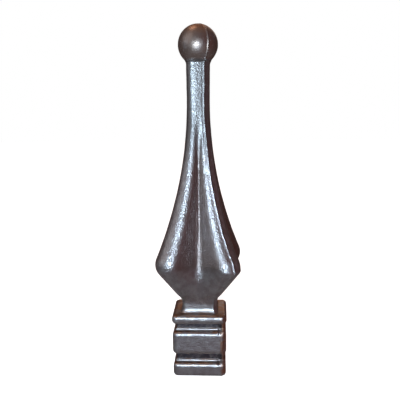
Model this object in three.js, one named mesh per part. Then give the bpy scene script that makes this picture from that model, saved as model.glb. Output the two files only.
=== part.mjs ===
import * as THREE from "three";

// A cast iron fence finial: a square moulded foot, a body of four ribs that swells into lobes and
// sweeps up to a slim square neck, and a ball on top. It is one solid casting.
// Millimetres, +Z up. The origin is the centre of the flat underside, and the front face looks along -Y.
// A half width is measured from the upright axis to the middle of a face.

// Foot: a stack of square blocks. Between two blocks lies a recess, with a thin half-round bead that
// stands on the lower block.
const lowerCollarHalf = 10;
const lowerCollarHeight = 5.4;
const blockHalf = 10.15;
const blockHeight = 8.8;
const upperCollarHalf = 10.35;
const upperCollarHeight = 3.5;
const beadHalf = 9.3;
const beadHeight = 1.35;
const recessHalf = beadHalf - beadHeight / 2;
const lowerRecessHeight = 2.1;
const upperRecessHeight = 1.6;
const footCornerRound = 1.7;
const blockEdgeRound = 1;
// The ledges beside a recess fall outward by this much.
const ledgeFall = 0.06;

// Plinth: the small square step on top of the foot. It draws in to the waist of the body.
const plinthHalf = 7.2;
const plinthHeight = 2.05;
const plinthCornerRound = 1.6;

// Body: its heights are measured from the top of the plinth.
// The rib line runs from the waist out to the nose of a lobe and in again to the neck.
const waistHalf = 6.5;
const waistCornerRound = 1.4;
const waistHeight = 1.2;
const undersideHalf = 8.3;
const undersideHeight = 4.9;
const noseHalf = 16.8;
const noseHeight = 17;
const noseRound = 3.4;
const ribRound = 5.5;
// The valley line runs between two ribs, up the middle of a face.
const valleyFootHalf = 9.4;
const valleyFootHeight = 12.2;
const valleyFootRound = 2;
const valleyRound = 1.1;

// Neck: a slender square stem with rounded corners, slightly thicker under the ball.
const neckHalf = 4.25;
const neckHeight = 78;
const neckSweepHeight = 48.5;
const neckValleySweepHeight = 44;
const neckCornerRound = 2.2;
const neckTopHalf = 4.4;

// Ball
const ballRadius = 7.45;
const ballCentreHeight = 97.8;
const ballFilletHeight = 0.7;

// Mould line: the mould opened along the diagonal through two opposite ribs. The flash was ground
// off there, which left a flat land up the crest of each and made them slimmer above the lobes.
const landHalfWidth = 1.2;
const dressingDepth = 1.2;
const dressingStartHeight = 15.5;
const dressingFullHeight = 24;
const dressingEndHeight = 60;
// The land leaves at least this share of the radius of a corner.
const cornerShareLeft = 0.8;
// In the recesses of the foot the flash was left as a fin, flush with the land on the block. It is
// thicker at its root than at its edge.
const blockLandHalfWidth = 1;
const finRootHalfThickness = 1.1;
const finHalfThickness = 0.65;
const finReach = (blockHalf - footCornerRound) * Math.SQRT2
  + Math.sqrt(footCornerRound ** 2 - blockLandHalfWidth ** 2);

// Surface quality: how finely the rounds are divided
const edgeSteps = 3;
const beadSteps = 4;
const ribSteps = 4;
const valleySteps = 2;
const bodySteps = 29;
const ballSteps = 12;

const plinthBottom = lowerCollarHeight + beadHeight + lowerRecessHeight + blockHeight
  + beadHeight + upperRecessHeight + upperCollarHeight;
const bodyBottom = plinthBottom + plinthHeight;
const ballCentre = bodyBottom + ballCentreHeight;
const neckTop = ballCentre - Math.sqrt(ballRadius ** 2 - neckTopHalf ** 2);

// Round a rib from one angle to another. The centre of the round lies on the diagonal.
function arc(centre, radius, from, to, steps) {
  const points = [];
  for (let i = 0; i <= steps; i++) {
    const angle = THREE.MathUtils.lerp(from, to, i / steps);
    points.push(new THREE.Vector2(centre + radius * Math.cos(angle), centre + radius * Math.sin(angle)));
  }
  return points;
}

// A place beside the diagonal: how far out along it, and how far off it.
function besideDiagonal(out, off) {
  return new THREE.Vector2((out + off) / Math.SQRT2, (out - off) / Math.SQRT2);
}

// The end of an eighth of a section, from the flank to the diagonal. A plain rib is round there.
function roundCrest(centre, radius, start) {
  return arc(centre, radius, start, Math.PI / 4, ribSteps);
}

// On the mould line the crest is a flat land.
function groundCrest(centre, radius, start) {
  const halfAngle = Math.min(Math.asin(Math.min(1, landHalfWidth / radius)), Math.acos(cornerShareLeft));
  const middle = besideDiagonal(centre * Math.SQRT2 + radius * Math.cos(halfAngle), 0);
  return [...arc(centre, radius, start, Math.PI / 4 - halfAngle, ribSteps - 1), middle];
}

// On the foot the land runs straight up, over the corners of the blocks and over the fin between them.
function finCrest(centre, radius, reach) {
  const cornerToLand = Math.max(reach - centre * Math.SQRT2, radius * cornerShareLeft);
  const landOut = centre * Math.SQRT2 + cornerToLand;
  const middle = besideDiagonal(landOut, 0);
  const halfChord = Math.sqrt(Math.max(0, radius ** 2 - cornerToLand ** 2));
  if (halfChord > finHalfThickness) {
    const landEdge = Math.PI / 4 - Math.asin(halfChord / radius);
    return [...arc(centre, radius, 0, landEdge, ribSteps - 1), middle];
  }
  const finEdge = besideDiagonal(landOut, finHalfThickness);
  if (finRootHalfThickness < radius / Math.SQRT2) {
    const finRoot = Math.PI / 4 - Math.asin(finRootHalfThickness / radius);
    return [...arc(centre, radius, 0, finRoot, ribSteps - 2), finEdge, middle];
  }
  const half = centre + radius;
  const root = new THREE.Vector2(half, half - finRootHalfThickness * Math.SQRT2);
  const beforeRoot = new THREE.Vector2(half, root.y - radius);
  return [beforeRoot, root, root.clone().lerp(finEdge, 0.5), finEdge, middle];
}

// The reach of the fin, which rounds off at the bottom and the top of the foot.
function finReachAt(height) {
  const toEnd = Math.min(height, plinthBottom - height, blockEdgeRound);
  return finReach - blockEdgeRound + Math.sqrt(blockEdgeRound ** 2 - (blockEdgeRound - toEnd) ** 2);
}

// One eighth of a section, from the middle of a face round to the crest of a rib on the diagonal.
// reach: half width over the ribs. valley: half width at the middle of the face. round: radius of the rib.
function eighthOfSection(reach, valley, round, crest) {
  const ribRadius = Math.min(round, reach * 0.95);
  const ribCentre = reach - ribRadius;
  const floor = Math.min(valley, reach);
  const across = Math.hypot(ribCentre - floor, ribCentre);
  const flankAngle = Math.atan2(ribCentre, ribCentre - floor) - Math.asin(Math.min(1, ribRadius / across));
  const slope = Math.max(0, 1 / Math.tan(flankAngle));
  const ribStart = -Math.atan(slope);
  const flankEnd = ribCentre + ribRadius * Math.sin(ribStart);
  const valleyEnd = Math.min(valleyRound, flankEnd / 2);
  const points = [];
  for (let i = 0; i <= valleySteps; i++) {
    const y = valleyEnd * i / valleySteps;
    points.push(new THREE.Vector2(floor + slope * (y * y + valleyEnd ** 2) / (2 * valleyEnd), y));
  }
  return [...points, ...crest(ribCentre, ribRadius, ribStart)];
}

// A level of the casting is a section at a height. Its four sides start at the middle of a face and
// end at the middle of the next. Plain corners and corners on the mould line take turns.
const levels = [];
function addLevel(height, plainEighth, mouldLineEighth) {
  const points = [plainEighth, mouldLineEighth, plainEighth, mouldLineEighth].flatMap((eighth, side) => {
    const mirrored = eighth.slice(1, -1).reverse().map((p) => new THREE.Vector2(p.y, p.x));
    const quarter = [...eighth, ...mirrored];
    return quarter.map((p) => p.clone().rotateAround(new THREE.Vector2(), side * Math.PI / 2));
  });
  levels.push({ height, points });
}

function addSquareLevel(height, half, cornerRound, mouldLineCrest) {
  const plainEighth = eighthOfSection(half, half, cornerRound, roundCrest);
  addLevel(height, plainEighth, eighthOfSection(half, half, cornerRound, mouldLineCrest));
}

function addFootLevel(height, half, cornerCentre) {
  const reach = finReachAt(height);
  addSquareLevel(height, half, half - cornerCentre, (centre, radius) => finCrest(centre, radius, reach));
}

// The rounded edge of a block: it turns in from the face by the radius of the edge.
function addEdge(faceEnd, half, edgeRound, from, to, steps, addAt) {
  for (let i = 0; i <= steps; i++) {
    const angle = THREE.MathUtils.lerp(from, to, i / steps);
    addAt(faceEnd + edgeRound * Math.sin(angle), half - edgeRound * (1 - Math.cos(angle)));
  }
}

// A block of the foot. Returns the height of its top.
function addBlock(bottom, height, half) {
  const top = bottom + height;
  const addAt = (z, halfThere) => addFootLevel(z, halfThere, half - footCornerRound);
  addEdge(bottom + blockEdgeRound, half, blockEdgeRound, -Math.PI / 2, 0, edgeSteps, addAt);
  addEdge(top - blockEdgeRound, half, blockEdgeRound, 0, Math.PI / 2, edgeSteps, addAt);
  return top;
}

// The half-round bead on top of a block and the recess above it, up to the next block.
function addBeadAndRecess(bottom, recessHeight) {
  const round = beadHalf - recessHalf;
  const recessTop = bottom + beadHeight + recessHeight;
  const addAt = (z, half) => addFootLevel(z, half, lowerCollarHalf - footCornerRound);
  addEdge(bottom + ledgeFall + round, beadHalf, round, -Math.PI / 2, Math.PI / 2, beadSteps, addAt);
  addAt(recessTop - ledgeFall, recessHalf);
  return recessTop;
}

// Foot and plinth, from the ground up
let footTop = addBlock(0, lowerCollarHeight, lowerCollarHalf);
footTop = addBeadAndRecess(footTop, lowerRecessHeight);
footTop = addBlock(footTop, blockHeight, blockHalf);
footTop = addBeadAndRecess(footTop, upperRecessHeight);
addBlock(footTop, upperCollarHeight, upperCollarHalf);

addSquareLevel(plinthBottom, plinthHalf, plinthCornerRound, groundCrest);

// A line that gives a half width or a radius for each height. It only ever rises.
function lineAgainstHeight(path) {
  const points = path.getPoints(60);
  return (height) => {
    const after = points.findIndex((p) => p.y > height);
    if (after === 0) return points[0].x;
    if (after < 0) return points.at(-1).x;
    const a = points[after - 1];
    const b = points[after];
    return THREE.MathUtils.mapLinear(height, a.y, b.y, a.x, b.x);
  };
}

const neckLength = neckTop - bodyBottom;

// From the end of a straight slope, round a corner and on along a sweep to the neck.
function addSweepToNeck(path, from, corner, round, sweepHeight) {
  const sweepCorner = new THREE.Vector2(neckHalf, sweepHeight);
  const toCorner = corner.clone().sub(from).setLength(round);
  const toNeck = sweepCorner.clone().sub(corner).setLength(round);
  const before = corner.clone().sub(toCorner);
  const after = corner.clone().add(toNeck);
  path.lineTo(before.x, before.y);
  path.quadraticCurveTo(corner.x, corner.y, after.x, after.y);
  path.quadraticCurveTo(sweepCorner.x, sweepCorner.y, neckHalf, neckHeight);
  path.lineTo(neckTopHalf, neckLength);
}

const ribPath = new THREE.Path();
ribPath.moveTo(waistHalf, 0);
ribPath.lineTo(waistHalf, waistHeight);
ribPath.quadraticCurveTo(waistHalf, (waistHeight + undersideHeight) / 2, undersideHalf, undersideHeight);
const undersideEnd = new THREE.Vector2(undersideHalf, undersideHeight);
addSweepToNeck(ribPath, undersideEnd, new THREE.Vector2(noseHalf, noseHeight), noseRound, neckSweepHeight);

const valleyPath = new THREE.Path();
valleyPath.moveTo(waistHalf, 0);
valleyPath.lineTo(waistHalf, waistHeight);
const waistTop = new THREE.Vector2(waistHalf, waistHeight);
const valleyFoot = new THREE.Vector2(valleyFootHalf, valleyFootHeight);
addSweepToNeck(valleyPath, waistTop, valleyFoot, valleyFootRound, neckValleySweepHeight);

const roundPath = new THREE.Path();
roundPath.moveTo(waistCornerRound, waistHeight);
roundPath.lineTo(ribRound, noseHeight);
roundPath.quadraticCurveTo(
  (ribRound + neckCornerRound) / 2, neckSweepHeight * 0.75, neckCornerRound, neckHeight);

// How much slimmer the two ribs on the mould line are.
const dressingPath = new THREE.Path();
dressingPath.moveTo(0, dressingStartHeight);
dressingPath.quadraticCurveTo(
  dressingDepth, (dressingStartHeight * 3 + dressingFullHeight) / 4, dressingDepth, dressingFullHeight);
dressingPath.quadraticCurveTo(dressingDepth, dressingFullHeight * 1.2, 0, dressingEndHeight);

// Body and neck
const ribAt = lineAgainstHeight(ribPath);
const valleyAt = lineAgainstHeight(valleyPath);
const roundAt = lineAgainstHeight(roundPath);
const dressingAt = lineAgainstHeight(dressingPath);
for (let i = 0; i <= bodySteps; i++) {
  // the levels lie closer together low down, where the lobes turn
  const height = neckLength * (i / bodySteps) ** 1.7;
  const valley = valleyAt(height);
  const dressedReach = Math.max(valley, ribAt(height) - dressingAt(height));
  const plainEighth = eighthOfSection(ribAt(height), valley, roundAt(height), roundCrest);
  const dressedEighth = eighthOfSection(dressedReach, valley, roundAt(height), groundCrest);
  addLevel(bodyBottom + height, plainEighth, dressedEighth);
}

// Ball: round sections that start at the neck and close at the top.
const pointsPerLevel = levels[0].points.length;
const ballStart = -Math.acos(neckTopHalf / ballRadius) + ballFilletHeight / ballRadius;
for (let i = 0; i < ballSteps; i++) {
  const angle = THREE.MathUtils.lerp(ballStart, Math.PI / 2, i / ballSteps);
  const points = levels.at(-1).points.map((p) => p.clone().setLength(ballRadius * Math.cos(angle)));
  levels.push({ height: ballCentre + ballRadius * Math.sin(angle), points });
}

// The skin: quads between neighbouring levels, a flat underside and a cap on the ball.
function skin() {
  const corners = [];
  const faces = [];
  for (const level of levels) {
    for (const p of level.points) corners.push(p.x, p.y, level.height);
  }
  for (let row = 0; row < levels.length - 1; row++) {
    for (let i = 0; i < pointsPerLevel; i++) {
      const next = (i + 1) % pointsPerLevel;
      const a = row * pointsPerLevel + i;
      const b = row * pointsPerLevel + next;
      faces.push(a, b, b + pointsPerLevel);
      faces.push(a, b + pointsPerLevel, a + pointsPerLevel);
    }
  }
  const underside = corners.length / 3;
  corners.push(0, 0, 0);
  const crown = underside + 1;
  corners.push(0, 0, ballCentre + ballRadius);
  const lastRow = (levels.length - 1) * pointsPerLevel;
  for (let i = 0; i < pointsPerLevel; i++) {
    const next = (i + 1) % pointsPerLevel;
    faces.push(underside, next, i);
    faces.push(crown, lastRow + i, lastRow + next);
  }
  const geometry = new THREE.BufferGeometry();
  geometry.setAttribute("position", new THREE.Float32BufferAttribute(corners, 3));
  geometry.setIndex(faces);
  geometry.computeVertexNormals();
  return geometry;
}

const castIron = new THREE.MeshStandardMaterial({ color: 0x5c5659, roughness: 0.42, metalness: 0.9 });
const finial = new THREE.Mesh(skin(), castIron);
finial.name = "finial";

const model = new THREE.Group();
model.add(finial);

export default model;
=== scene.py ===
import math

import bpy
import numpy as np
from mathutils import Matrix, Vector, noise


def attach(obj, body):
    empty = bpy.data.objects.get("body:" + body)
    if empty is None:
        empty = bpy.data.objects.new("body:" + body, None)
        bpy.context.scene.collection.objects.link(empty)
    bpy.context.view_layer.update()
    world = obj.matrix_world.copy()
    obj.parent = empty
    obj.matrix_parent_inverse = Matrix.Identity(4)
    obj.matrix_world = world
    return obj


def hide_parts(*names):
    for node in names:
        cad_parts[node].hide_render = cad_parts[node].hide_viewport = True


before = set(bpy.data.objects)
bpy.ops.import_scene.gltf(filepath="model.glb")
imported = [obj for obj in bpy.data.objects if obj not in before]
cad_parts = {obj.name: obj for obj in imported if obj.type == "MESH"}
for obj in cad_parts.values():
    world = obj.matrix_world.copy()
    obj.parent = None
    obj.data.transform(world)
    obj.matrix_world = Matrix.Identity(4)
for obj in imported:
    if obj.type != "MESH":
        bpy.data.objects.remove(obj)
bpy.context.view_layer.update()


# Camera
# The finial was photographed from close by, from a little to the right of its front face and
# from above the middle, so that the ledges of the foot show and the ball is seen from below.
VIEW_AZIMUTH = math.radians(2.34)
VIEW_DISTANCE = 0.1999
VIEW_HEIGHT = 0.0945
VIEW_DOWN = math.radians(7.56)
VIEW_TURN = math.radians(-0.27)
VIEW_ROLL = math.radians(-0.515)
VIEW_FOCAL_PIXELS = 529.6
VIEW_SHIFT_PIXELS = (3.3, -4.1)
IMAGE_PIXELS = 400
SENSOR_MM = 36.0
NEAREST_SEEN = 0.005
FARTHEST_SEEN = 20.0


def make_camera():
    lens = bpy.data.cameras.new("photo_view")
    lens.sensor_width = SENSOR_MM
    lens.lens = SENSOR_MM * VIEW_FOCAL_PIXELS / IMAGE_PIXELS
    lens.shift_x = VIEW_SHIFT_PIXELS[0] / IMAGE_PIXELS
    lens.shift_y = VIEW_SHIFT_PIXELS[1] / IMAGE_PIXELS
    lens.clip_start = NEAREST_SEEN
    lens.clip_end = FARTHEST_SEEN
    camera = bpy.data.objects.new("photo_view", lens)
    bpy.context.collection.objects.link(camera)
    heading = VIEW_AZIMUTH - VIEW_TURN
    level_ahead = Vector((-math.sin(heading), math.cos(heading), 0))
    right = Vector((math.cos(heading), math.sin(heading), 0))
    ahead = level_ahead * math.cos(VIEW_DOWN) - Vector((0, 0, math.sin(VIEW_DOWN)))
    up = right.cross(ahead)
    right, up = (
        right * math.cos(VIEW_ROLL) + up * math.sin(VIEW_ROLL),
        up * math.cos(VIEW_ROLL) - right * math.sin(VIEW_ROLL),
    )
    place = Vector((math.sin(VIEW_AZIMUTH), -math.cos(VIEW_AZIMUTH), 0)) * VIEW_DISTANCE
    place.z = VIEW_HEIGHT
    turn = Matrix((right, up, -ahead)).transposed()
    camera.matrix_world = Matrix.Translation(place) @ turn.to_4x4()
    bpy.context.scene.camera = camera


make_camera()


# Section of the casting
# Every level of the casting is cut square to its axis. It has four sides, each from the middle of a
# face round one corner to the next. Two opposite corners lie on the line where the mould opened:
# the flash was ground off there, which left a flat land, and in the recesses of the foot a thin fin.
MM = 0.001
VALLEY_ROUND = 2.3
VALLEY_STEPS = 5
FLANK_STEPS = 7
RIB_STEPS = 16
LAND_HALF_WIDTH = 1.2
CORNER_SHARE_LEFT = 0.8
LARGEST_ROUND_SHARE = 0.95
EDGE_SOFTNESS = 0.08
EDGE_SHARPNESS = 0.7
ROUND_STEPS = 10
EDGE_STEPS = 4
LAND_STEPS = 4
CROWDING = 1.6


def arc(centre, radius, angles):
    """Places round a rib. The centre of the round lies on the diagonal."""
    return np.c_[centre + radius * np.cos(angles), centre + radius * np.sin(angles)]


def beside_diagonal(out, off):
    return np.array((out + off, out - off)).T / math.sqrt(2)


def closer_to_end(start, end, steps):
    share = np.linspace(0, 1, steps + 1)
    return start + (end - start) * (1 - (1 - share) ** CROWDING)


def round_crest(centre, radius, start):
    """A plain rib, from its flank to the diagonal."""
    return arc(centre, radius, closer_to_end(start, math.pi / 4, RIB_STEPS))


def crest_with_land(centre, radius, start, land_out, fin_root=0.0, fin_edge=0.0):
    """A rib on the mould line: its round, the side of the fin where there is one, and half the land."""
    to_land = max(land_out - centre * math.sqrt(2), radius * CORNER_SHARE_LEFT)
    land_out = centre * math.sqrt(2) + to_land
    half_chord = math.sqrt(max(0.0, radius**2 - to_land**2))
    half_land, half_root = (half_chord,) * 2 if half_chord > fin_edge else (fin_edge, fin_root)
    land_edge = beside_diagonal(land_out, half_land)
    if half_root < radius / math.sqrt(2):
        round_end = math.pi / 4 - math.asin(half_root / radius)
        root = arc(centre, radius, round_end)[0]
        rounded = arc(centre, radius, closer_to_end(start, round_end - EDGE_SOFTNESS / radius, ROUND_STEPS))
    else:
        half = centre + radius
        root = np.array((half, half - half_root * math.sqrt(2)))
        along = closer_to_end(root[1] - radius, root[1] - EDGE_SOFTNESS, ROUND_STEPS)
        rounded = np.c_[np.full(len(along), half), along]
    land = beside_diagonal(land_out, np.linspace(half_land - EDGE_SOFTNESS, 0, LAND_STEPS + 1))
    share = np.linspace(0, 1, EDGE_STEPS)[:, None]
    sharp = root + (land_edge - root) * share
    softened = rounded[-1] + (land[0] - rounded[-1]) * share
    edge = sharp * EDGE_SHARPNESS + softened * (1 - EDGE_SHARPNESS)
    return np.r_[rounded, edge, land]


def ground_crest(centre, radius, start):
    half_angle = min(math.asin(min(1, LAND_HALF_WIDTH / radius)), math.acos(CORNER_SHARE_LEFT))
    land_out = centre * math.sqrt(2) + radius * math.cos(half_angle)
    return crest_with_land(centre, radius, start, land_out)


def eighth_of_section(reach, valley, rib_round, crest):
    """From the middle of a face round to the crest of a rib, in millimetres."""
    rib_radius = min(rib_round, reach * LARGEST_ROUND_SHARE)
    rib_centre = reach - rib_radius
    floor = min(valley, reach)
    across = math.hypot(rib_centre - floor, rib_centre)
    flank = math.atan2(rib_centre, rib_centre - floor) - math.asin(min(1, rib_radius / across))
    slope = max(0.0, 1 / math.tan(flank))
    rib_start = -math.atan(slope)
    flank_end = rib_centre + rib_radius * math.sin(rib_start)
    valley_end = min(VALLEY_ROUND, flank_end / 2)
    y = valley_end * np.linspace(0, 1, VALLEY_STEPS, endpoint=False)
    valley_x = floor + slope * (y * y + valley_end**2) / (2 * valley_end)
    flank_y = np.linspace(valley_end, flank_end, FLANK_STEPS, endpoint=False)
    face = np.c_[np.r_[valley_x, floor + slope * flank_y], np.r_[y, flank_y]]
    return np.r_[face, crest(rib_centre, rib_radius, rib_start)]


levels = []


def add_level(height, plain_eighth, mould_line_eighth):
    """The whole outline, from the middle of the right face, anticlockwise."""
    outline = []
    for side, eighth in enumerate((plain_eighth, mould_line_eighth) * 2):
        quarter = np.r_[eighth, eighth[-2:0:-1, ::-1]]
        for _ in range(side):
            quarter = quarter[:, ::-1] * (-1, 1)
        outline.append(quarter)
    levels.append((height, np.concatenate(outline)))


def add_square_level(height, half, corner_round, mould_line_crest):
    plain = eighth_of_section(half, half, corner_round, round_crest)
    add_level(height, plain, eighth_of_section(half, half, corner_round, mould_line_crest))


# Foot
# The cast foot has three square blocks with rounded edges. On each of the lower two lies a half-round
# bead, and above that the shaft draws in to a recess. On the upper one stands a smaller plinth, which
# draws in to the waist of the body.
LOWER_COLLAR_HALF = 10.0
LOWER_COLLAR_HEIGHT = 5.4
BLOCK_HALF = 10.15
BLOCK_HEIGHT = 8.8
UPPER_COLLAR_HALF = 10.35
UPPER_COLLAR_HEIGHT = 3.5
BEAD_HALF = 9.3
BEAD_HEIGHT = 1.35
RECESS_HALF = BEAD_HALF - BEAD_HEIGHT / 2
LOWER_RECESS_HEIGHT = 2.1
UPPER_RECESS_HEIGHT = 1.6
FOOT_CORNER_ROUND = 1.7
BLOCK_EDGE_ROUND = 1.5
LEDGE_FALL = 0.06
BLOCK_LAND_HALF_WIDTH = 1.0
FIN_ROOT_HALF_THICKNESS = 1.1
FIN_HALF_THICKNESS = 0.65
BLOCK_LAND = math.sqrt(FOOT_CORNER_ROUND**2 - BLOCK_LAND_HALF_WIDTH**2)
FIN_REACH = (BLOCK_HALF - FOOT_CORNER_ROUND) * math.sqrt(2) + BLOCK_LAND
PLINTH_HALF = 7.2
PLINTH_HEIGHT = 2.05
PLINTH_CORNER_ROUND = 1.6
BLOCK_EDGE_STEPS = 6
FOOT_HEIGHT = (
    LOWER_COLLAR_HEIGHT + BEAD_HEIGHT + LOWER_RECESS_HEIGHT + BLOCK_HEIGHT
    + BEAD_HEIGHT + UPPER_RECESS_HEIGHT + UPPER_COLLAR_HEIGHT
)
BODY_BOTTOM = FOOT_HEIGHT + PLINTH_HEIGHT


def fin_reach(height):
    """The fin rounds off at the bottom and the top of the foot."""
    to_end = min(height, FOOT_HEIGHT - height, BLOCK_EDGE_ROUND)
    turned_in = math.sqrt(BLOCK_EDGE_ROUND**2 - (BLOCK_EDGE_ROUND - to_end) ** 2)
    return FIN_REACH - BLOCK_EDGE_ROUND + turned_in


def add_foot_level(height, half, corner_centre):
    def crest(centre, radius, start):
        reach = fin_reach(height)
        return crest_with_land(centre, radius, 0, reach, FIN_ROOT_HALF_THICKNESS, FIN_HALF_THICKNESS)

    add_square_level(height, half, half - corner_centre, crest)


def edge_profile(face_end, half, edge_round, start, end, steps):
    """Heights and half widths round the edge of a block."""
    for angle in np.linspace(start, end, steps + 1):
        yield face_end + edge_round * math.sin(angle), half - edge_round * (1 - math.cos(angle))


def add_block(bottom, height, half):
    top = bottom + height
    edge, steps = BLOCK_EDGE_ROUND, BLOCK_EDGE_STEPS
    lower = edge_profile(bottom + edge, half, edge, -math.pi / 2, 0, steps)
    upper = edge_profile(top - edge, half, edge, 0, math.pi / 2, steps)
    for z, half_there in (*lower, *upper):
        add_foot_level(z, half_there, half - FOOT_CORNER_ROUND)
    return top


def add_bead_and_recess(bottom, recess_height):
    bead_round = BEAD_HALF - RECESS_HALF
    recess_top = bottom + BEAD_HEIGHT + recess_height
    bead_middle = bottom + LEDGE_FALL + bead_round
    bead = edge_profile(bead_middle, BEAD_HALF, bead_round, -math.pi / 2, math.pi / 2, 2 * BLOCK_EDGE_STEPS)
    for z, half in (*bead, (recess_top - LEDGE_FALL, RECESS_HALF)):
        add_foot_level(z, half, LOWER_COLLAR_HALF - FOOT_CORNER_ROUND)
    return recess_top


def add_foot():
    z = add_block(0, LOWER_COLLAR_HEIGHT, LOWER_COLLAR_HALF)
    z = add_bead_and_recess(z, LOWER_RECESS_HEIGHT)
    z = add_block(z, BLOCK_HEIGHT, BLOCK_HALF)
    z = add_bead_and_recess(z, UPPER_RECESS_HEIGHT)
    z = add_block(z, UPPER_COLLAR_HEIGHT, UPPER_COLLAR_HALF)
    add_square_level(z, PLINTH_HALF, PLINTH_CORNER_ROUND, ground_crest)


add_foot()


# Body and neck
# Cast in one with the foot. Four ribs swell from the waist to rounded lobes and sweep up to a square
# neck, and the valleys between them fade out on the way. The two ribs on the mould line were dressed
# slimmer after casting. The neck thickens a little under the ball and flares out to meet it.
WAIST_HALF = 6.5
WAIST_CORNER_ROUND = 1.4
WAIST_HEIGHT = 1.2
UNDERSIDE = (8.3, 4.9)
NOSE = (16.8, 17.0)
NOSE_ROUND = 3.4
RIB_ROUND = 5.5
VALLEY_FOOT = (9.4, 12.2)
VALLEY_FOOT_ROUND = 2.0
DRESSING_DEPTH = 1.2
DRESSING_START_HEIGHT = 15.5
DRESSING_TURN_HEIGHT = 17.625
DRESSING_FULL_HEIGHT = 24.0
DRESSING_FADE_HEIGHT = 28.8
DRESSING_END_HEIGHT = 60.0
NECK_HALF = 4.25
NECK_HEIGHT = 78.0
NECK_SWEEP_HEIGHT = 48.5
NECK_VALLEY_SWEEP_HEIGHT = 44.0
NECK_CORNER_ROUND = 2.2
NECK_TOP_HALF = 4.4
BALL_RADIUS = 7.45
BALL_CENTRE_HEIGHT = 97.8
NECK_LENGTH = BALL_CENTRE_HEIGHT - math.sqrt(BALL_RADIUS**2 - NECK_TOP_HALF**2)
NECK_TOP = BODY_BOTTOM + NECK_LENGTH
ROUND_SWEEP_SHARE = 0.75
NECK_FLARE = 0.42
NECK_FLARE_HEIGHT = 1.2
NECK_FLARE_ROUND = 2.5
NECK_FLARE_STEPS = 5
LEVEL_SPACING = 0.5
CURVE_STEPS = 60


def curve(start, control, end):
    share = np.linspace(0, 1, CURVE_STEPS)[:, None]
    start, control, end = np.array(start), np.array(control), np.array(end)
    return (1 - share) ** 2 * start + 2 * share * (1 - share) * control + share**2 * end


def sweep_to_neck(start, corner, corner_round, sweep_height):
    """Up a straight slope, round a corner and along a sweep to the neck."""
    start, corner = np.array(start), np.array(corner)
    control = np.array((NECK_HALF, sweep_height))
    before = corner - (corner - start) / np.hypot(*(corner - start)) * corner_round
    after = corner + (control - corner) / np.hypot(*(control - corner)) * corner_round
    neck = [(NECK_HALF, NECK_HEIGHT), (NECK_TOP_HALF, NECK_LENGTH)]
    return np.r_[curve(before, corner, after), curve(after, control, neck[0]), neck[1:]]


def add_body():
    waist = (WAIST_HALF, WAIST_HEIGHT)
    turn = (WAIST_HALF, (WAIST_HEIGHT + UNDERSIDE[1]) / 2)
    rib_line = np.r_[
        [(WAIST_HALF, 0)],
        curve(waist, turn, UNDERSIDE),
        sweep_to_neck(UNDERSIDE, NOSE, NOSE_ROUND, NECK_SWEEP_HEIGHT),
    ]
    valley_line = np.r_[
        [(WAIST_HALF, 0), waist],
        sweep_to_neck(waist, VALLEY_FOOT, VALLEY_FOOT_ROUND, NECK_VALLEY_SWEEP_HEIGHT),
    ]
    round_control = ((RIB_ROUND + NECK_CORNER_ROUND) / 2, NECK_SWEEP_HEIGHT * ROUND_SWEEP_SHARE)
    round_line = np.r_[
        [(WAIST_CORNER_ROUND, WAIST_HEIGHT)],
        curve((RIB_ROUND, NOSE[1]), round_control, (NECK_CORNER_ROUND, NECK_HEIGHT)),
    ]
    deepest = (DRESSING_DEPTH, DRESSING_FULL_HEIGHT)
    dressing_line = np.r_[
        curve((0, DRESSING_START_HEIGHT), (DRESSING_DEPTH, DRESSING_TURN_HEIGHT), deepest),
        curve(deepest, (DRESSING_DEPTH, DRESSING_FADE_HEIGHT), (0, DRESSING_END_HEIGHT)),
    ]
    flare_start = NECK_LENGTH - NECK_FLARE_HEIGHT
    below = np.linspace(0, flare_start, round(flare_start / LEVEL_SPACING), endpoint=False)
    for height in np.r_[below, np.linspace(flare_start, NECK_LENGTH, NECK_FLARE_STEPS + 1)]:
        reach, valley, rib_round, dressing = (
            np.interp(height, line[:, 1], line[:, 0])
            for line in (rib_line, valley_line, round_line, dressing_line)
        )
        flare = NECK_FLARE * max(0, (height - flare_start) / NECK_FLARE_HEIGHT) ** 2
        reach, valley, rib_round = reach + flare, valley + flare, rib_round + flare * NECK_FLARE_ROUND
        plain = eighth_of_section(reach, valley, rib_round, round_crest)
        dressed = eighth_of_section(max(valley, reach - dressing), valley, rib_round, ground_crest)
        add_level(BODY_BOTTOM + height, plain, dressed)


add_body()


# Ball
# A plain ball, cast in one with the neck. It grows out of the flared end of the neck with a very
# small fillet.
BALL_FILLET_HEIGHT = 1.1
BALL_STEPS = 36
CROWN_HEIGHT = BODY_BOTTOM + BALL_CENTRE_HEIGHT + BALL_RADIUS


def add_ball():
    outline = levels[-1][1]
    around = outline / np.hypot(outline[:, 0], outline[:, 1])[:, None]
    start = -math.acos(NECK_TOP_HALF / BALL_RADIUS) + BALL_FILLET_HEIGHT / BALL_RADIUS
    for angle in np.linspace(start, math.pi / 2, BALL_STEPS, endpoint=False):
        height = BODY_BOTTOM + BALL_CENTRE_HEIGHT + BALL_RADIUS * math.sin(angle)
        levels.append((height, around * BALL_RADIUS * math.cos(angle)))


add_ball()


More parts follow.
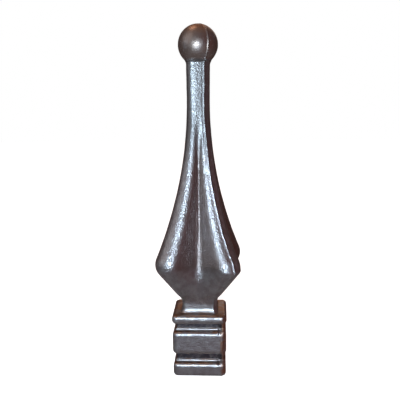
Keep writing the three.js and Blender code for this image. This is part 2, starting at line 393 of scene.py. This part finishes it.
# Parting ridge
# A fine ridge is left along one edge of the land, up two opposite ribs, the neck and the ball. On the
# neck it is lower and broader, with a shallow groove beside it. It is worn down on the foot.
RIDGE_HEIGHT = 0.32
RIDGE_WIDTH = 0.28
RIDGE_FOOT_SHARE = 0.1
RIDGE_FULL = FOOT_HEIGHT + 5.0
NECK_RIDGE_FROM = 72.0
NECK_RIDGE_FULL = 82.0
NECK_RIDGE_END = NECK_TOP - 1.0
NECK_RIDGE_HEIGHT = 0.14
NECK_RIDGE_WIDTH = 0.5
GROOVE_DEPTH = 0.12
GROOVE_WIDTH = 0.2
GROOVE_PLACE = 0.74
PLAIN_QUARTER = 2 * (VALLEY_STEPS + FLANK_STEPS + RIB_STEPS)
TO_LAND_EDGE = VALLEY_STEPS + FLANK_STEPS + ROUND_STEPS + 2
MOULD_LINE_QUARTER = 2 * (VALLEY_STEPS + FLANK_STEPS + ROUND_STEPS + EDGE_STEPS + LAND_STEPS + 1)
RIDGE_CORNERS = (
    PLAIN_QUARTER + MOULD_LINE_QUARTER - TO_LAND_EDGE,
    2 * PLAIN_QUARTER + MOULD_LINE_QUARTER + TO_LAND_EDGE,
)


def risen(height, start, end):
    """0 below the start, 1 above the end."""
    return min(1, max(0, (height - start) / (end - start)))


def raise_ridge(outline, height):
    share = RIDGE_FOOT_SHARE + (1 - RIDGE_FOOT_SHARE) * risen(height, FOOT_HEIGHT, RIDGE_FULL)
    outward = outline / np.hypot(outline[:, 0], outline[:, 1])[:, None]
    on_neck = risen(height, NECK_RIDGE_FROM, NECK_RIDGE_FULL) * (1 - risen(height, NECK_RIDGE_END, NECK_TOP))
    ridge_height = RIDGE_HEIGHT + (NECK_RIDGE_HEIGHT - RIDGE_HEIGHT) * on_neck
    ridge_width = RIDGE_WIDTH + (NECK_RIDGE_WIDTH - RIDGE_WIDTH) * on_neck
    raised = outline
    for corner in RIDGE_CORNERS:
        away = np.hypot(*(outline - outline[corner]).T)
        inner_side = np.abs(outline[:, 0]) < abs(outline[corner, 0])
        groove = np.exp(-(((away - GROOVE_PLACE) / GROOVE_WIDTH) ** 2)) * inner_side
        rise = ridge_height * share * np.exp(-((away / ridge_width) ** 2)) - GROOVE_DEPTH * on_neck * groove
        raised = raised + outward * rise[:, None]
    return raised


# Lean of the faces
# The pattern was not true: the front face of the neck turns away a little towards the ridge, and the
# plinth is slightly hollow.
NECK_LEAN_FROM = 70.0
NECK_LEAN_FULL = 92.0
NECK_LEAN = (-1.4, 2.7, 4.2)
NECK_LEAN_DEPTH = 0.46
NECK_LEAN_BEND = 0.2
NECK_FRONT = -2.0
PLINTH_HOLLOW = 0.28


def lean(x, y, height):
    """How far a place lies further in than on the true form."""
    if FOOT_HEIGHT < height < BODY_BOTTOM:
        share = (height - FOOT_HEIGHT) / PLINTH_HEIGHT
        return 4 * share * (1 - share) * PLINTH_HOLLOW
    start, deepest, end = NECK_LEAN
    if height >= NECK_TOP or y > NECK_FRONT or not start < x < end:
        return 0.0
    across = (end - x) / (end - deepest)
    if x < deepest:
        up_to = (x - start) / (deepest - start)
        across = (1 + NECK_LEAN_BEND) * up_to**2 / (up_to + NECK_LEAN_BEND)
    return NECK_LEAN_DEPTH * risen(height, NECK_LEAN_FROM, NECK_LEAN_FULL) * across


# Casting skin
# Sand-cast iron is never quite true: faces and edges wander by up to about a tenth of a millimetre.
# The creases between a ledge and a face stay sharp.
CREASE = 0.05
SHORTEST_FACE = 0.2
WANDER_DEPTH = 0.07
WANDER_LENGTH = 4.0
UNEVEN_DEPTH = 0.05
UNEVEN_LENGTH = 1.2
UNEVEN_PLACE = Vector((7, 3, 5))


def sunk_by(point):
    """How far the skin lies further in than the true form, never further out."""
    wander = (noise.noise(point / WANDER_LENGTH) + 1) / 2
    uneven = (noise.noise(point / UNEVEN_LENGTH + UNEVEN_PLACE) + 1) / 2
    return wander * WANDER_DEPTH + uneven * UNEVEN_DEPTH


def closer_levels():
    """The levels, with others put in between where two lie far apart."""
    rows = [levels[0]]
    for (low, inner), (high, outer) in zip(levels, levels[1:]):
        length = math.hypot(high - low, np.median(np.hypot(*(outer - inner).T)))
        if length > SHORTEST_FACE and high < BODY_BOTTOM + CREASE:
            count = max(2, round(length / LEVEL_SPACING))
            for share in np.linspace(CREASE / length, 1 - CREASE / length, count):
                rows.append((low + (high - low) * share, inner + (outer - inner) * share))
        rows.append((high, outer))
    return rows


def make_casting():
    rows = closer_levels()
    around = len(rows[0][1])
    corners = []
    for height, outline in rows:
        for x, y in raise_ridge(outline, height):
            point = Vector((x, y, height))
            outward = Vector((x, y, 0)).normalized()
            corners.append((point - outward * (sunk_by(point) + lean(x, y, height))) * MM)
    faces = []
    for row in range(len(rows) - 1):
        for i in range(around):
            j = (i + 1) % around
            low, high = row * around, (row + 1) * around
            faces.append((low + i, low + j, high + j, high + i))
    crown = len(corners)
    corners.append(Vector((0, 0, CROWN_HEIGHT)) * MM)
    last = (len(rows) - 1) * around
    faces += [(crown, last + i, last + (i + 1) % around) for i in range(around)]
    faces.append(tuple(range(around))[::-1])
    mesh = bpy.data.meshes.new("casting")
    mesh.from_pydata(corners, [], faces)
    mesh.validate()
    mesh.shade_smooth()
    mesh.polygons[len(mesh.polygons) - 1].use_smooth = False
    casting = bpy.data.objects.new("casting", mesh)
    bpy.context.collection.objects.link(casting)
    return casting


casting = make_casting()


# Bare cast iron
# Unpainted: a grey casting skin with a sandy grain and a semi-gloss sheen. The valleys are browner and
# darker: brown oxide with painted shade over it. Thin rust lies where the skin faces up and on the ground
# corners of the foot, and painted shade darkens the recesses. The foot, the neck and the ball are worn
# smoother, the last two are darker as well.
IRON = (0.3, 0.293, 0.298, 1)
IRON_DARK = (0.235, 0.216, 0.222, 1)
# Painted shade: the valleys between the ribs are made darker and browner, over their brown oxide.
VALLEY_OXIDE_AND_SHADE = (0.19, 0.158, 0.15, 1)
NECK_GREY = (0.147, 0.145, 0.146, 1)
BALL_BROWN = (0.235, 0.188, 0.165, 1)
RUST = (0.27, 0.14, 0.082, 1)
# Painted shade: a near-black colour laid in the recesses of the foot.
PAINTED_RECESS_SHADE = (0.05, 0.045, 0.055, 1)
MOTTLE = dict(size=2.5, edges=(0.35, 0.65), detail=4)
VALLEY_PATCHES = dict(size=3.0, least=0.7)
BALL_PATCHES = dict(size=3.0, least=0.45)
LEDGE_PATCHES = dict(size=3.5, least=0.3, edges=(0.35, 0.6))
RECESS_SHADE_PATCHES = dict(size=1.2, least=0.55, most=0.95, edges=(0.25, 0.6))
LAND_PATCHES = dict(size=2.2, least=0.15, most=0.85, edges=(0.3, 0.65))
SHEEN = dict(size=0.9, least=0.34, most=0.42, edges=(0.3, 0.7))
GRAIN = dict(size=0.53, edges=(0.28, 0.74), detail=1)
GRAIN_DEPTH = 0.066
METALLIC = 0.94
VALLEY_EDGE_AT_NOSE = 6.4
VALLEY_EDGE_ABOVE = 2.8
VALLEY_EDGE_RISE = 45.0
VALLEY_EDGE_SOFTNESS = 1.5
# Where the painted shade over the oxide in the valleys begins.
VALLEY_SHADE_FROM = BODY_BOTTOM + NOSE[1] - 4.0
VALLEY_SHADE_RISE = 5.0
NECK_GREY_SHARE = 0.9
NECK_GREY_RISE = 18.0
LEDGE_SLOPE = (0.35, 0.9)
LAND_FROM = 12.5 * math.sqrt(2)
LAND_EDGE_SOFTNESS = 0.5
LAND_RUST_END = FOOT_HEIGHT + 0.8
LAND_RUST_FADE = 0.6
# Where the painted shade in the recesses starts, and how far it reaches over their top.
RECESS_SHADE_RISE = 0.4
RECESS_SHADE_OVER_TOP = 0.15
RECESS_SHADE_FADE = 0.2
CHANGE_SOFTNESS = 1.0
BALL_DULLER = 0.04
BALL_SMOOTHER = 0.75
NECK_SMOOTHER = 0.36
FOOT_SMOOTHER = 0.35
LOWER_RECESS_BOTTOM = LOWER_COLLAR_HEIGHT + BEAD_HEIGHT
UPPER_RECESS_TOP = FOOT_HEIGHT - UPPER_COLLAR_HEIGHT
RECESSES = (
    (LOWER_RECESS_BOTTOM, LOWER_RECESS_BOTTOM + LOWER_RECESS_HEIGHT),
    (UPPER_RECESS_TOP - UPPER_RECESS_HEIGHT, UPPER_RECESS_TOP),
)


def bare_cast_iron():
    material = bpy.data.materials.new("bare_cast_iron")
    material.use_nodes = True
    nodes, links = material.node_tree.nodes, material.node_tree.links
    shader = nodes["Principled BSDF"]
    shader.inputs["Metallic"].default_value = METALLIC
    place = nodes.new("ShaderNodeTexCoord").outputs["Object"]
    position = nodes.new("ShaderNodeSeparateXYZ")
    links.new(place, position.inputs[0])
    x, y, height = position.outputs
    normal = nodes.new("ShaderNodeSeparateXYZ")
    links.new(nodes.new("ShaderNodeNewGeometry").outputs["Normal"], normal.inputs[0])

    def join(value, socket):
        """A number or a colour is set on the socket, anything else is linked to it."""
        if isinstance(value, (int, float, tuple)):
            socket.default_value = value
        else:
            links.new(value, socket)

    def combine(operation, a, b=0.0):
        step = nodes.new("ShaderNodeMath")
        step.operation = operation
        join(a, step.inputs[0])
        join(b, step.inputs[1])
        return step.outputs[0]

    def times(a, b):
        return combine("MULTIPLY", a, b)

    def plus(a, b):
        return combine("ADD", a, b)

    def minus(a, b):
        return combine("SUBTRACT", a, b)

    def without_sign(value):
        return combine("ABSOLUTE", value)

    def spread(value, low, high, to_low=0.0, to_high=1.0):
        ramp = nodes.new("ShaderNodeMapRange")
        ramp.interpolation_type = "SMOOTHSTEP"
        for name, end in zip(("From Min", "From Max", "To Min", "To Max"), (low, high, to_low, to_high)):
            ramp.inputs[name].default_value = end
        join(value, ramp.inputs["Value"])
        return ramp.outputs["Result"]

    def above(start, softness):
        return spread(height, start * MM, (start + softness) * MM)

    def below(end, softness):
        return spread(height, (end - softness) * MM, end * MM, 1.0, 0.0)

    def patches(size, least=0.0, most=1.0, edges=(0.3, 0.6), detail=3):
        """Blotches of a size in millimetres, between the least and the most."""
        texture = nodes.new("ShaderNodeTexNoise")
        texture.inputs["Scale"].default_value = 1 / (size * MM)
        texture.inputs["Detail"].default_value = detail
        links.new(place, texture.inputs["Vector"])
        return spread(texture.outputs["Fac"], *edges, least, most)

    def cover(skin, colour, share):
        blend = nodes.new("ShaderNodeMix")
        blend.data_type = "RGBA"
        join(share, blend.inputs["Factor"])
        join(skin, blend.inputs["A"])
        join(colour, blend.inputs["B"])
        return blend.outputs["Result"]

    nose = BODY_BOTTOM + NOSE[1]
    off_rib = without_sign(minus(without_sign(x), without_sign(y)))
    edge_sizes = (VALLEY_EDGE_AT_NOSE * MM, VALLEY_EDGE_ABOVE * MM)
    rib_edge = spread(height, nose * MM, (nose + VALLEY_EDGE_RISE) * MM, *edge_sizes)
    between_ribs = spread(minus(off_rib, rib_edge), 0, VALLEY_EDGE_SOFTNESS * MM)
    in_valley = times(between_ribs, above(VALLEY_SHADE_FROM, VALLEY_SHADE_RISE))
    on_ball = above(NECK_TOP, CHANGE_SOFTNESS)
    on_neck = times(above(BODY_BOTTOM + NECK_SWEEP_HEIGHT, NECK_GREY_RISE), minus(1.0, on_ball))
    on_foot = below(BODY_BOTTOM, CHANGE_SOFTNESS)
    on_ledge = spread(normal.outputs["Z"], *LEDGE_SLOPE)
    in_recesses = [
        times(above(bottom, RECESS_SHADE_RISE), below(top + RECESS_SHADE_OVER_TOP, RECESS_SHADE_FADE))
        for bottom, top in RECESSES
    ]
    to_mould_line = without_sign(minus(x, y))
    outside = spread(to_mould_line, LAND_FROM * MM, (LAND_FROM + LAND_EDGE_SOFTNESS) * MM)
    on_land = times(outside, below(LAND_RUST_END, LAND_RUST_FADE))

    skin = cover(IRON, IRON_DARK, patches(**MOTTLE))
    # Painted shade: darker, browner valleys between the ribs, over their brown oxide.
    skin = cover(skin, VALLEY_OXIDE_AND_SHADE, times(in_valley, patches(**VALLEY_PATCHES)))
    skin = cover(skin, NECK_GREY, times(on_neck, NECK_GREY_SHARE))
    skin = cover(skin, BALL_BROWN, times(on_ball, patches(**BALL_PATCHES)))
    skin = cover(skin, RUST, times(on_ledge, patches(**LEDGE_PATCHES)))
    # Painted shade in the recesses of the foot.
    skin = cover(skin, PAINTED_RECESS_SHADE, times(plus(*in_recesses), patches(**RECESS_SHADE_PATCHES)))
    skin = cover(skin, RUST, times(on_land, patches(**LAND_PATCHES)))
    links.new(skin, shader.inputs["Base Color"])
    links.new(plus(patches(**SHEEN), times(on_ball, BALL_DULLER)), shader.inputs["Roughness"])

    smoother = plus(times(on_ball, BALL_SMOOTHER), times(on_neck, NECK_SMOOTHER))
    smoother = plus(smoother, times(on_foot, FOOT_SMOOTHER))
    bump = nodes.new("ShaderNodeBump")
    bump.inputs["Distance"].default_value = GRAIN_DEPTH * MM
    links.new(times(patches(**GRAIN), minus(1.0, smoother)), bump.inputs["Height"])
    links.new(bump.outputs["Normal"], shader.inputs["Normal"])
    return material


casting.data.materials.append(bare_cast_iron())
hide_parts("finial")
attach(casting, "root")


# Floor and light
# A pale floor in a pale room, lit by a cool lamp just beside the lens, as in the photograph. The iron
# mirrors a dim, warm room, greyer on the left. A large soft lamp fills the left, another the back, and
# a small warm one hangs from the ceiling behind.
FLOOR_SIZE = 6.0
FLOOR_COLOUR = (0.86, 0.86, 0.86, 1)
FLOOR_ROUGHNESS = 0.9
FLOOR_GLOW = 1.15
FLOOR_LIGHT = 0.5
ROOM_SEEN = (1.0, 1.0, 1.0, 1)
ROOM_LEFT = (0.16, 0.14, 0.145, 1)
ROOM_RIGHT = (0.21, 0.075, 0.07, 1)
ROOM_BEHIND = (0.1, 0.055, 0.045, 1)
ROOM_ABOVE = (0.36, 0.24, 0.19, 1)
ROOM_BELOW = (0.25, 0.215, 0.22, 1)
ROOM_CHANGES = (
    ("X", -0.6, 0.5, ROOM_RIGHT),
    ("Y", -0.2, 0.5, ROOM_BEHIND),
    ("Z", 0.6, 0.95, ROOM_ABOVE),
    ("Z", -0.3, -0.9, ROOM_BELOW),
)
FLASH = dict(azimuth=-5, elevation=5, distance=0.24, size=0.02, watts=0.62, colour=(0.66, 0.85, 1))
LEFT_FILL = dict(azimuth=-62, elevation=30, distance=0.9, size=0.9, watts=1.7, colour=(1, 0.98, 1))
CEILING = dict(azimuth=-129, elevation=71, distance=0.5, size=0.06, watts=0.22, colour=(1, 0.8, 0.66))
BACK_FILL = dict(azimuth=170, elevation=30, distance=1.0, size=0.6, watts=0.9, colour=(1, 0.84, 0.74))
LAMP_AIM_HEIGHT = 0.07


def make_floor():
    mesh = bpy.data.meshes.new("floor")
    half = FLOOR_SIZE / 2
    corners = [(-half, -half, 0), (half, -half, 0), (half, half, 0), (-half, half, 0)]
    mesh.from_pydata(corners, [], [(0, 1, 2, 3)])
    floor = bpy.data.objects.new("floor", mesh)
    bpy.context.collection.objects.link(floor)
    material = bpy.data.materials.new("pale_floor")
    material.use_nodes = True
    nodes, links = material.node_tree.nodes, material.node_tree.links
    shader = nodes["Principled BSDF"]
    shader.inputs["Base Color"].default_value = FLOOR_COLOUR
    shader.inputs["Roughness"].default_value = FLOOR_ROUGHNESS
    shader.inputs["Emission Color"].default_value = FLOOR_COLOUR
    glow = nodes.new("ShaderNodeMapRange")
    glow.inputs["To Min"].default_value = FLOOR_LIGHT
    glow.inputs["To Max"].default_value = FLOOR_GLOW
    links.new(nodes.new("ShaderNodeLightPath").outputs["Is Camera Ray"], glow.inputs["Value"])
    links.new(glow.outputs["Result"], shader.inputs["Emission Strength"])
    mesh.materials.append(material)
    floor.visible_glossy = False


def make_lamp(name, azimuth, elevation, distance, size, watts, colour):
    light = bpy.data.lights.new(name, "AREA")
    light.shape = "DISK"
    light.size = size
    light.energy = watts
    light.color = colour
    lamp = bpy.data.objects.new(name, light)
    bpy.context.collection.objects.link(lamp)
    a, e = math.radians(azimuth), math.radians(elevation)
    back = Vector((math.sin(a) * math.cos(e), -math.cos(a) * math.cos(e), math.sin(e)))
    lamp.location = Vector((0, 0, LAMP_AIM_HEIGHT)) + back * distance
    lamp.rotation_mode = "QUATERNION"
    lamp.rotation_quaternion = (-back).to_track_quat("-Z", "Y")


def make_room():
    world = bpy.data.worlds.new("room")
    world.use_nodes = True
    nodes, links = world.node_tree.nodes, world.node_tree.links
    seen = nodes["Background"]
    seen.inputs["Color"].default_value = ROOM_SEEN
    light = nodes.new("ShaderNodeBackground")
    towards = nodes.new("ShaderNodeSeparateXYZ")
    links.new(nodes.new("ShaderNodeTexCoord").outputs["Generated"], towards.inputs[0])
    shade = ROOM_LEFT
    for axis, start, end, colour in ROOM_CHANGES:
        share = nodes.new("ShaderNodeMapRange")
        share.interpolation_type = "SMOOTHSTEP"
        share.inputs["From Min"].default_value = start
        share.inputs["From Max"].default_value = end
        links.new(towards.outputs[axis], share.inputs["Value"])
        blend = nodes.new("ShaderNodeMix")
        blend.data_type = "RGBA"
        links.new(share.outputs["Result"], blend.inputs["Factor"])
        blend.inputs["B"].default_value = colour
        if shade is ROOM_LEFT:
            blend.inputs["A"].default_value = shade
        else:
            links.new(shade, blend.inputs["A"])
        shade = blend.outputs["Result"]
    links.new(shade, light.inputs["Color"])
    ray = nodes.new("ShaderNodeLightPath")
    which = nodes.new("ShaderNodeMixShader")
    links.new(ray.outputs["Is Camera Ray"], which.inputs["Fac"])
    links.new(light.outputs["Background"], which.inputs[1])
    links.new(seen.outputs["Background"], which.inputs[2])
    links.new(which.outputs["Shader"], nodes["World Output"].inputs["Surface"])
    bpy.context.scene.world = world
    bpy.context.scene.view_settings.view_transform = "Standard"


make_floor()
make_room()
make_lamp("flash", **FLASH)
make_lamp("left_fill", **LEFT_FILL)
make_lamp("back_fill", **BACK_FILL)
make_lamp("ceiling", **CEILING)
